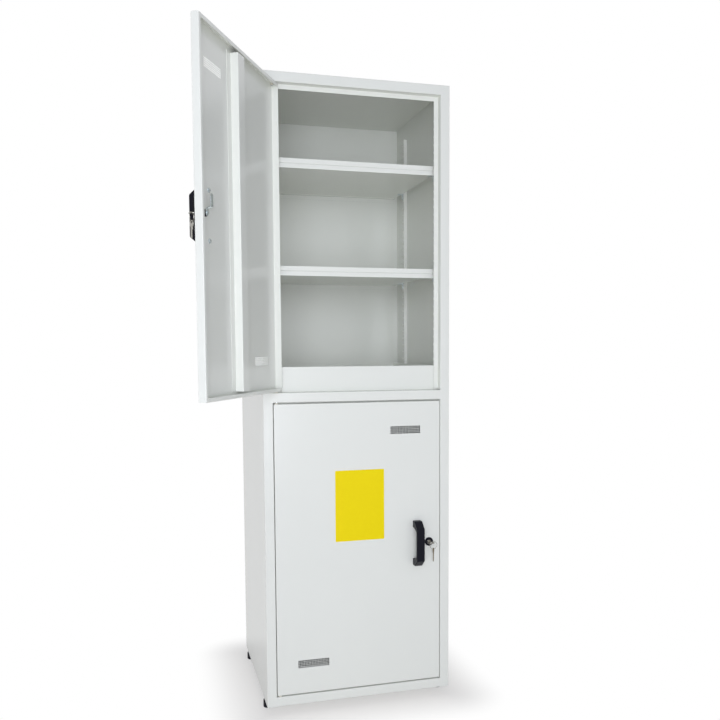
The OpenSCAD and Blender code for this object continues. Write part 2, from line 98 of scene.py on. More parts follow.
def powder_coat(name, pale, deep):
    """Baked polyester powder on steel: a slow 0.25 m drift between two near-equal whites, orange peel of about
    4 mm (real peel is 1 to 2 mm, too fine to show) and the 120 mm waves that a folded sheet keeps."""
    made, tree, shader, place = start_finish(name, IOR=1.5, Coat_Weight=0.0)
    drift = add(tree, "TexNoise", {"Vector": place, "Scale": 1 / 0.25, "Detail": 3.0})
    tone = add(tree, "Mix", {"Factor": drift.outputs["Fac"], 6: linear(pale), 7: linear(deep)},
               data_type="RGBA")
    tree.links.new(tone.outputs[2], shader.inputs["Base Color"])
    peel = add(tree, "TexNoise", {"Vector": place, "Scale": 1 / 0.004, "Detail": 2.0, "Roughness": 0.45})
    gloss = add(tree, "MapRange", {"Value": peel.outputs["Fac"], "To Min": 0.17, "To Max": 0.26})
    tree.links.new(gloss.outputs["Result"], shader.inputs["Roughness"])
    wave = add(tree, "TexNoise", {"Vector": place, "Scale": 1 / 0.12, "Detail": 1.0})
    slow = add(tree, "Bump", {"Height": wave.outputs["Fac"], "Strength": 0.5, "Distance": 0.0006})
    fine = add(tree, "Bump", {"Height": peel.outputs["Fac"], "Strength": 0.25, "Distance": 0.0001,
                              "Normal": slow.outputs["Normal"]})
    tree.links.new(fine.outputs["Normal"], shader.inputs["Normal"])
    return made


def bend(corners, radius, steps=arc_steps):
    """The line through corners with each inner corner rounded: the corner is cut back by radius times the
    tangent of half its turn, and an arc about the centre one radius to the side fills in. Returns the points
    and the unit normals to the left of travel."""
    corners = np.asarray(corners, float)
    legs = np.diff(corners, axis=0)
    heads = np.arctan2(legs[:, 1], legs[:, 0])
    turns = (np.diff(heads) + np.pi) % (2 * np.pi) - np.pi
    reach = np.broadcast_to(radius, turns.shape)
    side = (np.sign(turns) * reach)[:, None]
    ahead = np.stack([np.cos(heads), np.sin(heads)], -1)[:-1]
    centre = corners[1:-1] - (reach * np.tan(np.abs(turns) / 2))[:, None] * ahead
    centre = centre + side * np.stack([-ahead[:, 1], ahead[:, 0]], -1)
    sweep = heads[:-1, None] + turns[:, None] * np.linspace(0, 1, steps)
    normal = np.stack([-np.sin(sweep), np.cos(sweep)], -1)
    arcs = centre[:, None] - side[:, None] * normal
    angles = np.concatenate([heads[:1], sweep.ravel(), heads[-1:]])
    points = np.concatenate([corners[:1], arcs.reshape(-1, 2), corners[-1:]])
    return points, np.stack([-np.sin(angles), np.cos(angles)], -1)


def folded(corners, thick, radius):
    """A sheet's section from its middle line: the bent line moved half the thickness to each side.
    Returns points x two faces x 2."""
    points, normal = bend(corners, radius)
    return points[:, None] + normal[:, None] * (thick / 2) * np.array([1, -1])[:, None]


def run(section, stations, order):
    """A section carried straight through stations, which may differ from point to point. The section's two
    coordinates and the station are put in the given order. Returns two faces x stations x points x 3."""
    stations = np.asarray(stations, float)
    if stations.ndim == 1:
        stations = stations[:, None, None]
    shape = (len(stations),) + section.shape[:2]
    grid = np.stack([np.broadcast_to(section[..., 0], shape), np.broadcast_to(section[..., 1], shape),
                     np.broadcast_to(stations, shape)], -1)
    return grid[..., order].transpose(2, 0, 1, 3)


def quads(index):
    """The four point numbers of each cell in a grid of point numbers."""
    return np.stack([index[:-1, :-1], index[1:, :-1], index[1:, 1:], index[:-1, 1:]], -1)


def plate(faces, solid=None, ring=False, rims=(True, True, True, True)):
    """A sheet between two grids of points, each rows x columns. A full cell gets a quad on both faces, and an
    edge between a full and an empty cell, or on a rim that is asked for (first and last row, first and last
    column), gets a quad across the thickness. In a ring the last row joins the first."""
    faces = np.asarray(faces, float)
    index = np.arange(faces[..., 0].size).reshape(faces.shape[:3])
    if ring:
        index = np.concatenate([index, index[:, :1]], 1)
    if solid is None:
        solid = np.ones((index.shape[1] - 1, index.shape[2] - 1), bool)
    over, under = index
    cells = [quads(face)[solid] for face in index]
    edge = np.diff(np.pad(solid.astype(int), ((1, 1), (0, 0))), axis=0) != 0
    edge[0] &= rims[0] and not ring
    edge[-1] &= rims[1] and not ring
    cells.append(np.stack([over[:, :-1], over[:, 1:], under[:, 1:], under[:, :-1]], -1)[edge])
    edge = np.diff(np.pad(solid.astype(int), ((0, 0), (1, 1))), axis=1) != 0
    edge[:, 0] &= rims[2]
    edge[:, -1] &= rims[3]
    cells.append(np.stack([over[:-1], over[1:], under[1:], under[:-1]], -1)[edge])
    return faces.reshape(-1, 3), np.concatenate(cells)


def make(name, shells, body, slot, finish, *nodes, rim=0.0):
    """One piece from its shells, given in millimetres: doubled points are welded, faces without area dropped
    and each closed shell turned outwards. Flat faces stay flat and folds are smooth. A rim rounds the edges."""
    whole = bmesh.new()
    for points, faces in shells:
        mesh = bpy.data.meshes.new(name)
        mesh.from_pydata((np.asarray(points) * MM).tolist(), [], [list(face) for face in faces])
        shell = bmesh.new()
        shell.from_mesh(mesh)
        bmesh.ops.remove_doubles(shell, verts=shell.verts, dist=0.002 * MM)
        bmesh.ops.dissolve_degenerate(shell, edges=shell.edges, dist=0.001 * MM)
        bmesh.ops.recalc_face_normals(shell, faces=shell.faces)
        shell.to_mesh(mesh)
        shell.free()
        whole.from_mesh(mesh)
        bpy.data.meshes.remove(mesh)
    mesh = bpy.data.meshes.new(name)
    whole.to_mesh(mesh)
    whole.free()
    mesh.materials.append(finish)
    mesh.shade_smooth()
    mesh.set_sharp_from_angle(angle=np.radians(32))
    piece = bpy.data.objects.new(name, mesh)
    bpy.context.scene.collection.objects.link(piece)
    if rim:
        rounding = piece.modifiers.new("rim", "BEVEL")
        rounding.width = rim * MM
        rounding.segments = 3
        rounding.limit_method = "ANGLE"
        rounding.angle_limit = np.radians(50)
    even = piece.modifiers.new("flat faces", "WEIGHTED_NORMAL")
    even.keep_sharp = not rim
    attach(piece, body)
    if nodes:
        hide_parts(*nodes)
    return piece


body_white = powder_coat("powder coat, semi-gloss white", "#eceee6", "#e9ebe3")
body_low, body_high = corners_of("side_panel_left")
half_width = -body_low[0]
front, rear = body_low[1], body_high[1]
foot_top, body_top = body_low[2], body_high[2]
rail_low, rail_high = corners_of("mid_rail")
rail_half, stop_back = rail_high[0], rail_high[1]
low_top, up_floor = rail_low[2] + stop_w, rail_high[2]
low_floor = corners_of("bottom_rail")[1][2]
up_top = corners_of("top_rail")[0][2] + stop_w
bend_mid = fold_inside + sheet / 2
wall_x, face_y, stop_y = half_width - sheet / 2, front + sheet / 2, stop_back - sheet / 2
return_x = rail_half + sheet / 2
panel = folded([(-half_width + rear_flange, rear - sheet / 2), (-wall_x, rear - sheet / 2), (-wall_x, face_y),
                (-return_x, face_y), (-return_x, stop_y), (-rail_half + stop_w, stop_y)], sheet, bend_mid)
levels = [foot_top, low_top, up_floor + notch, body_top - top_fold]
full = np.ones((len(levels) - 1, len(panel) - 1), bool)
full[1, 3 * arc_steps:] = False
for side, mirror in (("left", 1), ("right", -1)):
    points, faces = plate(run(panel, levels, [0, 1, 2]), full)
    make(f"panel_{side}", [(points * [mirror, 1, 1], faces)], "carcass", "body_paint", body_white,
         f"side_panel_{side}")

# Back, floor and divider: flat sheets spot-welded between the sides. Plain plates, so the solids stay and
# take the body's coat.


def coat(node, finish):
    """Gives a solid that stays one finish."""
    frame["nodes"][node].data.materials.clear()
    frame["nodes"][node].data.materials.append(finish)


for node in ("back_panel", "floor_panel", "mid_divider"):
    coat(node, body_white)

# Top: a sheet whose edges are folded down all round and welded to the sides, back and top rail.


def joined(*shells):
    """Shells put into one list of points and faces, each one's face numbers moved past the points before it."""
    starts = np.cumsum([0] + [len(points) for points, faces in shells[:-1]])
    return (np.concatenate([points for points, faces in shells]),
            np.concatenate([faces + start for (points, faces), start in zip(shells, starts)]))


def pan(across, along, section, solid=None, plain=None):
    """A tray folded from one sheet, in coordinates across, along and depth. The section (inward distance and
    depth, points x two faces) is carried round the rectangle that the grid lines across and along span, with
    mitred corners: each coordinate is held the inward distance away from its own two edges. The flat middle has
    the same grid lines, and holes where solid is false. plain is the section's inward distance on the first
    edge across, where that edge is folded differently."""
    across, along = np.asarray(across, float), np.asarray(along, float)
    inward, depth = section[..., 0], section[..., 1]
    first = inward if plain is None else plain
    rows, columns = len(across) - 1, len(along) - 1
    x = np.concatenate([across[:-1], np.full(columns, across[-1]), across[:0:-1], np.full(columns, across[0])])
    y = np.concatenate([np.full(rows, along[0]), along[:-1], np.full(rows, along[-1]), along[:0:-1]])
    x = np.clip(x[:, None, None], across[0] + first, across[-1] - inward)
    y = np.clip(y[:, None, None], along[0] + inward, along[-1] - inward)
    around = np.stack([x, y, np.broadcast_to(depth, x.shape)], -1).transpose(2, 0, 1, 3)
    start = inward[0, 0]
    x, y = np.meshgrid(np.clip(across, across[0] + start, across[-1] - start),
                       np.clip(along, along[0] + start, along[-1] - start), indexing="ij")
    middle = np.stack([np.stack([x, y, np.full(x.shape, level)], -1) for level in depth[0]])
    return joined(plate(around, ring=True, rims=(False, False, False, True)),
                  plate(middle, solid, rims=(False, False, False, False)))


turn = np.linspace(np.pi / 2, np.pi, arc_steps)
edge = np.stack([top_fold + np.cos(turn) * top_fold, top_fold - np.sin(turn) * top_fold], -1)
edge_in = np.stack([top_fold + np.cos(turn) * fold_inside, top_fold - np.sin(turn) * fold_inside], -1)
lid = pan([-half_width, half_width], [front, rear], np.stack([edge, edge_in], 1))
make("top", [(lid[0] * [1, 1, -1] + [0, 0, body_top], lid[1])], "carcass", "body_paint", body_white,
     "top_panel")

# Rails: folded channels between the stiles. Each has a face, returns into the body and, above a door, a stop
# flange. The face laps over the stiles' rounded edge, where the weld is ground flush.
lap = fold_inside + sheet
return_back = stop_back - sheet
rails = {
    "top_rail": [(face_y, body_top - top_fold), (face_y, up_top + sheet / 2), (stop_y, up_top + sheet / 2),
                 (stop_y, up_top - stop_w)],
    "mid_rail": [(return_back, up_floor - sheet / 2), (face_y, up_floor - sheet / 2),
                 (face_y, low_top + sheet / 2), (stop_y, low_top + sheet / 2), (stop_y, low_top - stop_w)],
    "bottom_rail": [(return_back, low_floor - sheet / 2), (face_y, low_floor - sheet / 2),
                    (face_y, foot_top + sheet / 2), (return_back, foot_top + sheet / 2)],
}
for node, corners in rails.items():
    section = folded(corners, sheet, bend_mid)
    end = np.where(section[..., 0] < front + sheet + 0.1, rail_half + lap, rail_half)
    end = np.where(section[..., 0] > return_back - 0.1, rail_half - stop_w, end)
    make(f"{node}_fold", [plate(run(section, np.stack([-end, end]), [2, 0, 1]))], "carcass", "body_paint",
         body_white, node)

# Feet: a moulded pad with a soft edge on a zinc-plated threaded stud, which screws through a welded bracket
# and a nut in each bottom corner. Brackets and nuts are out of sight and keep their solids.
stud_pitch, stud_groove = 2.0, 0.6
pad_corner, pad_slope = 1.6, 3.0


def wrapped(grid, closed=False):
    """The surface over a grid of points whose last column joins its first. If closed, the last row does too."""
    index = np.arange(grid[..., 0].size).reshape(grid.shape[:2])
    index = np.concatenate([index, index[:, :1]], 1)
    if closed:
        index = np.concatenate([index, index[:1]], 0)
    return grid.reshape(-1, 3), quads(index).reshape(-1, 4)


def turned(profile, steps=40, closed=False):
    """A profile of radius and height turned about the height axis: x is radius times cosine, y is radius times
    sine. A closed profile joins its last point to its first."""
    profile = np.asarray(profile, float)
    angle = np.linspace(0, 2 * np.pi, steps, endpoint=False)
    radius, height = profile[:, :1], profile[:, 1:]
    return wrapped(np.stack([radius * np.cos(angle), radius * np.sin(angle), height + 0 * angle], -1), closed)


def thread(radius, low, high, pitch, deep):
    """The profile of a threaded bar as rings: a zigzag between the radius and the radius less the depth, one
    tooth for each pitch, closed to the axis at both ends."""
    height = np.arange(low, high, pitch / 2)
    zigzag = radius - deep * (np.arange(len(height)) % 2)
    return np.concatenate([[[0, low]], np.stack([zigzag, height], -1), [[zigzag[-1], high], [0, high]]])


def patchy(name, size, tones, gloss, relief, **sockets):
    """A finish with one noise, of a size in millimetres, that takes the colour from one tone to the other, the
    roughness along with it, and the surface up and down by the relief in millimetres."""
    made, tree, shader, place = start_finish(name, **sockets)
    patch = add(tree, "TexNoise", {"Vector": place, "Scale": 1 / (size * MM), "Detail": 3.0}).outputs["Fac"]
    tone = add(tree, "Mix", {"Factor": patch, 6: linear(tones[0]), 7: linear(tones[1])}, data_type="RGBA")
    sheen = add(tree, "MapRange", {"Value": patch, "To Min": gloss[0], "To Max": gloss[1]})
    bumps = add(tree, "Bump", {"Height": patch, "Strength": 0.3, "Distance": relief * MM})
    for source, socket in ((tone.outputs[2], "Base Color"), (sheen.outputs["Result"], "Roughness"),
                           (bumps.outputs["Normal"], "Normal")):
        tree.links.new(source, shader.inputs[socket])
    return made


# Glass-filled nylon from a spark-eroded mould: near black, satin, with a fine even grain. The real grain is
# about 0.3 mm and is drawn at 1 mm to show.
moulded_black = patchy("moulded black plastic, spark-eroded grain", 1.0, ("#12131b", "#181922"), (0.24, 0.36),
                       0.1, IOR=1.49, Specular_IOR_Level=0.1)

# Electroplated steel with a clear blue passivation: a soft metal gloss with cloudy patches of about 6 mm.
bright_zinc = patchy("bright zinc plate on steel", 6.0, ("#c6cfd3", "#e0e6e9"), (0.14, 0.30), 0.03,
                     Metallic=1.0)

for corner in ("front_left", "front_right", "rear_left", "rear_right"):
    pad_low, pad_high = corners_of(f"foot_pad_{corner}")
    stud_low, stud_high = corners_of(f"foot_stud_{corner}")
    centre = (pad_low + pad_high) / 2 * [1, 1, 0]
    pad_r, pad_h = (pad_high[0] - pad_low[0]) / 2, pad_high[2]
    stud_r = (stud_high[0] - stud_low[0]) / 2
    outline = bend([(0, 0), (pad_r - 1, 0), (pad_r, 1), (pad_r, pad_h - pad_slope), (1.6 * stud_r, pad_h),
                    (1.05 * stud_r, pad_h), (1.05 * stud_r, stud_low[2]), (0, stud_low[2])],
                   [pad_corner / 2, pad_corner / 2, pad_corner, pad_corner, 0.05, 0.05])[0]
    points, faces = turned(outline)
    make(f"pad_{corner}", [(points + centre, faces)], f"foot_{corner}", "black_plastic", moulded_black,
         f"foot_pad_{corner}")
    points, faces = turned(thread(stud_r, stud_low[2], stud_high[2], stud_pitch, stud_groove), 24)
    make(f"stud_{corner}", [(points + centre, faces)], f"foot_{corner}", "zinc_steel", bright_zinc,
         f"foot_stud_{corner}")
for node in ("foot_brackets", "foot_nuts"):
    coat(node, bright_zinc)

# Uprights: channels rolled from the body's sheet, with a row of slots punched at a pitch of 25 mm, welded to
# the side walls in pairs and coated with the body. Hooked clips of zinc-plated steel sit in them.
slot_pitch, slot_first = 25.0, 19.0
slot_w, slot_h = 13.0, 5.0
upright_in, upright_w = 110.0, 25.0
for level, base in (("upper", up_floor), ("lower", low_floor)):
    for side, mirror in (("left", 1), ("right", -1)):
        node = f"uprights_{level}_{side}"
        box_low, box_high = corners_of(node)
        deep = box_high[0] - box_low[0]
        height = box_high[2] - base
        count = int((height - slot_first - slot_h) / slot_pitch) + 1
        pair = []
        for middle in (front + upright_in, rear - upright_in):
            half = (upright_w - sheet) / 2
            section = folded([(0, -half), (deep - sheet / 2, -half), (deep - sheet / 2, -slot_w / 2),
                              (deep - sheet / 2, slot_w / 2), (deep - sheet / 2, half), (0, half)], sheet,
                             [bend_mid, 0.0, 0.0, bend_mid])
            slots = slot_first + slot_pitch * np.arange(count)
            stations = np.concatenate([[0], np.stack([slots, slots + slot_h], -1).ravel(), [height]])
            full = np.ones((len(stations) - 1, len(section) - 1), bool)
            full[1:-1:2, 2 * arc_steps:3 * arc_steps] = False
            points, faces = plate(run(section, stations, [0, 1, 2]), full)
            points = (points + [-half_width + sheet, middle, base]) * [mirror, 1, 1]
            pair.append((points, faces))
        make(f"slotted_{level}_{side}", pair, "carcass", "body_paint", body_white, node)
    coat(f"shelf_clips_{level}", bright_zinc)

# Shelves: trays of 1 mm steel with a raised lip all round, and an angle spot-welded below the front and rear
# edges. The two folds meet in a fine groove along the front. They rest on the clips and lift out.
tray_sheet = 1.0
tray_fold = 1.5
tray_flat = 30.0
lip_top, skirt_low, skirt_deep = 15.0, -14.0, 22.0
tray_white = powder_coat("powder coat, semi-gloss white, trays", "#edefe7", "#eaece4")
tray_edge = folded([(tray_flat, 0.5 * tray_sheet), (0.5 * tray_sheet, 0.5 * tray_sheet),
                    (0.5 * tray_sheet, lip_top)], tray_sheet, tray_fold)
for level in ("upper", "lower"):
    for number in (1, 2):
        node = f"shelf_{level}_{number}"
        box_low, box_high = corners_of(node)
        ends = [box_low[0], box_high[0]]
        base = box_low[2] - skirt_low
        points, faces = pan(ends, [box_low[1], box_high[1]], tray_edge)
        shells = [(points + [0, 0, base], faces)]
        for edge, inside in ((box_low[1], 1), (box_high[1], -1)):
            skirt = folded([(edge + inside * skirt_deep, base - 0.5 * tray_sheet),
                            (edge + inside * 0.5 * tray_sheet, base - 0.5 * tray_sheet),
                            (edge + inside * 0.5 * tray_sheet, base + skirt_low)], tray_sheet, tray_fold)
            shells.append(plate(run(skirt, ends, [2, 0, 1])))
        make(f"tray_{level}_{number}", shells, "carcass", "tray_paint", tray_white, node)

# Sump trays: deep trays on each compartment's floor that would hold a spill, folded from 1 mm steel, welded
# at the corners, with the rim doubled over inwards to a smooth hem.
hem_h = 10.0
hem_gap = 1.1
sump_fold = 0.7
for level in ("upper", "lower"):
    node = f"sump_{level}"
    box_low, box_high = corners_of(node)
    wall = 0.5 * tray_sheet
    rim_z = box_high[2] - box_low[2] - wall
    section = folded([(tray_flat, wall), (wall, wall), (wall, rim_z), (wall + hem_gap, rim_z),
                      (wall + hem_gap, rim_z - hem_h)], tray_sheet, [sump_fold, hem_gap / 2, hem_gap / 2])
    points, faces = pan([box_low[0], box_high[0]], [box_low[1], box_high[1]], section)
    make(f"spill_{level}", [(points + [0, 0, box_low[2]], faces)], "carcass", "tray_paint", tray_white, node)

# Doors: pans of 1 mm steel with a face, returns on all sides and lips on the top, bottom and free edges. Two
# vents of square holes are punched in each. Pivot pins in nylon bushes carry them on the left.
door_sheet = 1.0
door_deep = 21.0
door_lip = 10.5
door_fold = 1.3
door_gap, sill_gap, head_gap = 2.0, 4.0, 5.0
pivot_in, pivot_back = 9.0, 5.0
vent_columns, vent_rows = 20, 5
vent_pitch, vent_hole = 5.0, 4.1
vent_in, vent_up, vent_down = 116.0, 94.0, 90.0
door_w = 2 * (rail_half - door_gap)
door_h = low_top - low_floor - sill_gap - head_gap
hinges = {joint["child"]: joint for joint in frame["joints"]}
door_turn = {"upper": np.radians(hinges["door_upper"]["range_deg"][0]), "lower": 0.0}
door_base = {"upper": up_floor + sill_gap, "lower": low_floor + sill_gap}


def hang(points, level):
    """Door coordinates (from the hinge edge, behind the outer face, above the bottom edge) to the cabinet's:
    measured from the pivot, turned by the door's angle at rest and moved to where the pivot is."""
    a, b, up = np.asarray(points, float).T
    a, b = a - pivot_in, b - pivot_back
    cos, sin = np.cos(door_turn[level]), np.sin(door_turn[level])
    pivot = np.array(hinges[f"door_{level}"]["pos_m"]) / MM
    return np.stack([pivot[0] + a * cos - b * sin, pivot[1] + a * sin + b * cos, up + door_base[level]], -1)


def punched(middle, count):
    """The edges of a row of holes: their centres, a pitch apart about the middle, less and plus half a hole."""
    centres = middle + vent_pitch * (np.arange(count) - (count - 1) / 2)
    return (centres[:, None] + [-vent_hole / 2, vent_hole / 2]).ravel()


vents = ((door_w - vent_in, door_h - vent_down), (vent_in, vent_up))
columns = [punched(x, vent_columns) for x, z in vents]
rows = [punched(z, vent_rows) for x, z in vents]
across = np.sort(np.concatenate([[0, door_w], *columns]))
along = np.sort(np.concatenate([[0, door_h], *rows]))
full = np.ones((len(across) - 1, len(along) - 1), bool)
for column, row in zip(columns, rows):
    full[np.ix_(np.searchsorted(across, column[::2]), np.searchsorted(along, row[::2]))] = False
half_sheet = door_sheet / 2
door_edge = folded([(2 * door_lip, half_sheet), (half_sheet, half_sheet), (half_sheet, door_deep - half_sheet),
                    (door_lip, door_deep - half_sheet)], door_sheet, door_fold)
hinge_edge = np.where(door_edge[..., 1] > door_deep / 2, np.minimum(door_edge[..., 0], door_sheet),
                      door_edge[..., 0])
points, faces = pan(across, along, door_edge, full, hinge_edge)
for level in ("upper", "lower"):
    make(f"leaf_{level}", [(hang(points[:, [0, 2, 1]], level), faces)], f"door_{level}", "body_paint",
         body_white, f"door_{level}")

# Door stiffeners: hat sections of the door's sheet, spot-welded by their feet to the inside of the face.
crown_w, hat_deep, hat_foot = 44.0, 22.0, 25.0
hat_at, hat_end = 286.0, 16.0
web = (crown_w - door_sheet) / 2
hat = folded([(hat_at - web - hat_foot, 1.5 * door_sheet), (hat_at - web, 1.5 * door_sheet),
              (hat_at - web, hat_deep + half_sheet), (hat_at + web, hat_deep + half_sheet),
              (hat_at + web, 1.5 * door_sheet), (hat_at + web + hat_foot, 1.5 * door_sheet)], door_sheet,
             door_fold)
points, faces = plate(run(hat, [hat_end, door_h - hat_end], [0, 1, 2]))
for level in ("upper", "lower"):
    make(f"hat_{level}", [(hang(points, level), faces)], f"door_{level}", "body_paint", body_white,
         f"stiffener_{level}")

# Hinge pins and bushes: headed zinc-plated pins through the rails' returns, in collared bushes of natural
# nylon. Only the collars show, in the gap above and below a door, so the solids stay.

# Unfilled nylon: creamy, slightly waxy, with flow clouds of about 3 mm.
natural_nylon = patchy("moulded natural nylon", 3.0, ("#ded9c8", "#e8e4d6"), (0.38, 0.52), 0.05, IOR=1.53)
for level in ("upper", "lower"):
    coat(f"hinge_pins_{level}", bright_zinc)
    coat(f"hinge_bushes_{level}", natural_nylon)

# Handles: moulded bow handles with sloped ends, screwed on from inside the door with washered hexagon screws.
handle_half, handle_out, handle_w = 72.5, 46.0, 26.0
handle_slope, handle_toe = 21.0, 20.0
grip_t, handle_foot = 11.0, 22.0
toe_bend, grip_bend, palm_bend = 5.0, 7.0, 6.0
handle_in = 79.0
handle_at = door_w - handle_in
mid_door = door_h / 2
screw_up = handle_half - handle_foot / 2
washer_r, washer_t = 6.5, 1.0
screw_af, screw_h = 9.0, 3.5


def prism(outline, low, high):
    """A closed outline of two coordinates drawn between two heights, with a face at each end."""
    count = len(outline)
    points = np.concatenate([np.column_stack([outline, np.full(count, z)]) for z in (low, high)])
    ahead = (np.arange(count) + 1) % count
    sides = np.stack([np.arange(count), ahead, ahead + count, np.arange(count) + count], -1)
    return points, [*sides.tolist(), list(range(count))[::-1], list(range(count, 2 * count))]


def hexagon(across):
    """The six corners of a hexagon of the given width across its flats."""
    angle = np.arange(6) * np.pi / 3
    return across / np.sqrt(3) * np.stack([np.cos(angle), np.sin(angle)], -1)


inner = handle_out - grip_t
foot_end = handle_half - handle_foot
upper_half = np.array([(0, handle_half), (handle_toe, handle_half), (handle_out, handle_half - handle_slope)])
under_half = np.array([(0, foot_end), (inner / 3, foot_end), (inner, foot_end - inner / 4)])
outside = bend(np.concatenate([upper_half, upper_half[::-1] * [1, -1]]),
               [toe_bend, grip_bend, grip_bend, toe_bend])[0]
inside = bend(np.concatenate([under_half, under_half[::-1] * [1, -1]]),
              [toe_bend, palm_bend, palm_bend, toe_bend])[0]
bow = prism(np.concatenate([outside, inside[::-1]]), -handle_w / 2, handle_w / 2)
bow_points = bow[0][:, [2, 0, 1]] * [1, -1, 1] + [handle_at, 0, mid_door]
washer = turned(bend([(0, 0), (washer_r, 0), (washer_r, washer_t), (0, washer_t)], 0.3)[0], 32)
screw_head = prism(hexagon(screw_af), washer_t, screw_h)
for level in ("upper", "lower"):
    make(f"bow_{level}", [(hang(bow_points, level), bow[1])], f"door_{level}", "black_plastic", moulded_black,
         f"handle_{level}", rim=2.4)
    shells = []
    for side in (-1, 1):
        foot = [handle_at, door_sheet, mid_door + side * screw_up]
        shells += [(hang(points[:, [0, 2, 1]] + foot, level), faces) for points, faces in (washer, screw_head)]
    make(f"screws_{level}", shells, f"door_{level}", "zinc_steel", bright_zinc, f"handle_screws_{level}",
         rim=0.35)

# Locks: a black moulded bezel with a threaded sleeve, a plated nut behind the door, a nickel-plated turning
# plug and a cranked cam that swings behind the stop flange, held by a hexagon screw.
lock_in = 37.0
lock_at = door_w - lock_in
bezel_r, bezel_h = 14.0, 5.0
sleeve_r, sleeve_deep, sleeve_groove = 9.0, 14.0, 0.5
plug_r, plug_front, plug_gap = 6.25, -4.4, 0.2
tail_half = 3.5
nut_af, nut_t = 23.0, 4.0
cam_back, cam_t, cam_w = 14.2, 2.0, 14.0
cam_tip, cam_bend, cam_bend_end = 27.0, 8.0, 14.0
cam_len = 45.0
cam_screw_af, cam_screw_h = 8.0, 3.0
lock_mid = [lock_at, 0, mid_door]

# Plated and polished, dulled by hands: fine scuffs, drawn 0.8 mm wide to show. Both tones are set darker than
# bright plate, as painted shade for the dim surroundings the metal reflects.
nickel = patchy("nickel plate, painted darker as shade", 0.8, ("#87857f", "#a3a19a"), (0.14, 0.34), 0.02, Metallic=1.0)

bore_r = plug_r + plug_gap
bezel = bend([(bore_r, 0), (bore_r, -bezel_h), (bezel_r - 2.5, -bezel_h), (bezel_r, -bezel_h / 2),
              (bezel_r, 0)], [0.5, 1.0, 1.5])[0]
ridge = np.arange(0, sleeve_deep, sleeve_groove)
sleeve = np.stack([sleeve_r - sleeve_groove * (np.arange(len(ridge)) % 2), ridge], -1)
sleeve = np.concatenate([bezel, sleeve, [[bore_r, sleeve_deep]]])
housing = turned(sleeve, 48, closed=True)
plug = turned(bend([(0, plug_front), (plug_r, plug_front), (plug_r, sleeve_deep), (0, sleeve_deep)],
                   [0.6, 0.3])[0], 40)
tail = prism(tail_half * np.array([(-1, -1), (1, -1), (1, 1), (-1, 1)]), sleeve_deep - 1, cam_back + cam_t)
nut_angle = np.linspace(0, 2 * np.pi, 48, endpoint=False)
nut_flat = nut_af / 2 / np.cos((nut_angle % (np.pi / 3)) - np.pi / 6)
nut_profile = np.stack([np.stack([r * np.cos(nut_angle), r * np.sin(nut_angle), z + 0 * nut_angle], -1)
                        for r, z in ((sleeve_r + 0.05, door_sheet), (nut_flat, door_sheet),
                                     (nut_flat, door_sheet + nut_t - 0.5),
                                     (nut_flat - 0.6, door_sheet + nut_t),
                                     (sleeve_r + 0.05, door_sheet + nut_t))])
nut = wrapped(nut_profile, closed=True)

line, normal = bend([(cam_back + cam_t / 2, -cam_w / 2), (cam_back + cam_t / 2, cam_bend + cam_t / 2),
                     (cam_tip + cam_t / 2, cam_bend_end + cam_t / 2), (cam_tip + cam_t / 2, cam_len)], 4.0)
length = np.concatenate([[0], np.cumsum(np.hypot(*np.diff(line, axis=0).T))])
ends = cam_w / 2 * (1 - np.cos(np.linspace(0, np.pi / 2, 7)))
steps = np.unique(np.concatenate([ends, length, length[-1] - ends]).round(4))
line = np.stack([np.interp(steps, length, line[:, i]) for i in (0, 1)], -1)
normal = np.stack([np.interp(steps, length, normal[:, i]) for i in (0, 1)], -1)
near = np.minimum(np.minimum(steps, steps[-1] - steps), cam_w / 2)
wide = np.sqrt(np.maximum(cam_w ** 2 / 4 - (cam_w / 2 - near) ** 2, 0))
lever = np.stack([np.stack([np.stack([side * wide, *(line + normal * face * cam_t / 2).T], -1)
                            for side in (-1, 1)], 1) for face in (-1, 1)])
cam = plate(lever)
cam_screw = prism(hexagon(cam_screw_af), cam_back + cam_t, cam_back + cam_t + cam_screw_h)


def on_lock(shell, level, order=(0, 2, 1)):
    """A shell in lock coordinates (across, up, inward) to the cabinet's."""
    return hang(shell[0][:, order] + lock_mid, level), shell[1]


for level in ("upper", "lower"):
    door, lock = f"door_{level}", f"lock_{level}"
    make(f"bezel_{level}", [on_lock(housing, level)], door, "black_plastic", moulded_black,
         f"lock_housing_{level}")
    make(f"nut_{level}", [on_lock(nut, level)], door, "zinc_steel", bright_zinc, f"lock_nut_{level}")
    make(f"plug_{level}", [on_lock(plug, level), on_lock(tail, level)], lock, "nickel", nickel,
         f"lock_plug_{level}")
    make(f"lever_{level}", [on_lock(cam, level, (0, 1, 2))], lock, "zinc_steel", bright_zinc, f"cam_{level}",
         rim=0.4)
    make(f"lever_screw_{level}", [on_lock(cam_screw, level)], lock, "zinc_steel", bright_zinc,
         f"cam_screw_{level}", rim=0.4)

# Keys: a stamped nickel-plated key in each lock, a split ring of spring wire through its bow, and a spare key
# that hangs from the ring, nickel-plated on the upper door and of brass on the lower, both metals drawn darker
# as painted shade.
key_t = 2.0
bow_hole_r = 3.5
bow_hole_out = 16.0
bow_out = bezel_h + bow_hole_out
bow_half, bow_reach, bow_power = 11.0, 10.5, 2.6
neck_half, neck_meets, neck_within = 4.5, 0.41, 0.5
neck_reach = bow_out + plug_front
ring_r, ring_lean = 12.0, np.pi / 4
wire_r = 0.5
spare_hole_r, spare_bow_r = 2.5, 8.5
spare_rim = 2.5
spare_t, blade_half, blade_low = 2.0, 4.5, -39.0
spare_turn = np.radians(60)

# Bare brass, its colour drawn dark as painted shade for the dim surroundings it reflects, in patches of about 2
# mm between two yellow-brown tones.
brass_painted_dark = patchy("worn brass", 2.0, ("#54451f", "#74612f"), (0.25, 0.45), 0.02, Metallic=1.0)


